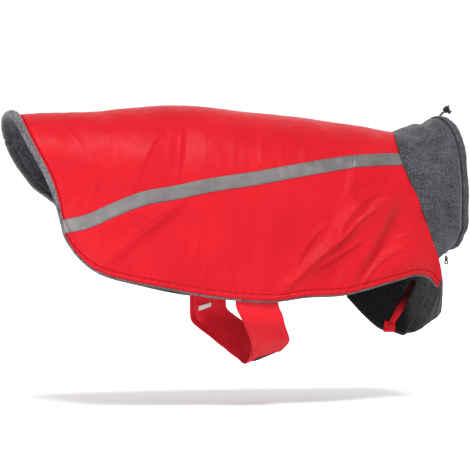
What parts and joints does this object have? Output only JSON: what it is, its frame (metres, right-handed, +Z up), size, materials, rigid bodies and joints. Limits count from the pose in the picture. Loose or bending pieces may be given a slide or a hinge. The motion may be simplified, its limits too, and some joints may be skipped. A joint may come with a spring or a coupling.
{
  "type": "dog winter coat",
  "caption": "Worn dog winter coat: nylon back and sides, fleece lining, stand-up collar with drawstring and zip, chest flap, reflective stripes and a belly strap.",
  "frame": {"origin": "inner face of the back lining, on the middle plane straight above the belly strap, where the wearer's back carries the coat", "axes": "+X from the tail edge to the collar, +Y to the coat's far (left-hand) side as it faces +X, +Z up"},
  "size_m": [0.7095, 0.2292, 0.3941],
  "materials": {
    "nylon_red": "smooth coated nylon with a soft sheen",
    "fleece_grey": "matt heather fleece",
    "reflective_grey": "silver reflective tape",
    "tape_red": "woven tape",
    "hook_black": "hook tape",
    "label_white": "blank satin label",
    "textile_black": "woven cord and tape",
    "plastic_black": "moulded, half matt",
    "steel": "plated, dull"
  },
  "bodies": {
    "coat": {"shell": "nylon_red", "lining": "fleece_grey", "edge_roll": "fleece_grey", "stripe_near": "reflective_grey", "stripe_far": "reflective_grey", "collar": "fleece_grey", "collar_casing": "fleece_grey", "chest_flap": "fleece_grey", "chest_tape": "tape_red", "chest_tape_fold": "tape_red", "strap_near": "nylon_red", "strap_far": "nylon_red", "strap_hook_tape": "hook_black", "strap_label": "label_white", "zip_tape": "textile_black", "zip_slider": "steel", "stopper_barrel": "plastic_black", "stopper_button": "plastic_black", "cord_near": "textile_black", "cord_far": "textile_black", "cord_near_stub": "textile_black", "cord_far_stub": "textile_black"},
    "pull": {"zip_link": "steel", "zip_pull": "plastic_black"}
  },
  "joints": [
    {"name": "pull_hinge", "type": "hinge", "parent": "coat", "child": "pull", "pos_m": [0.344, 0, -0.21], "axis": [0, 1, 0], "range_deg": [-60, 25]}
  ]
}
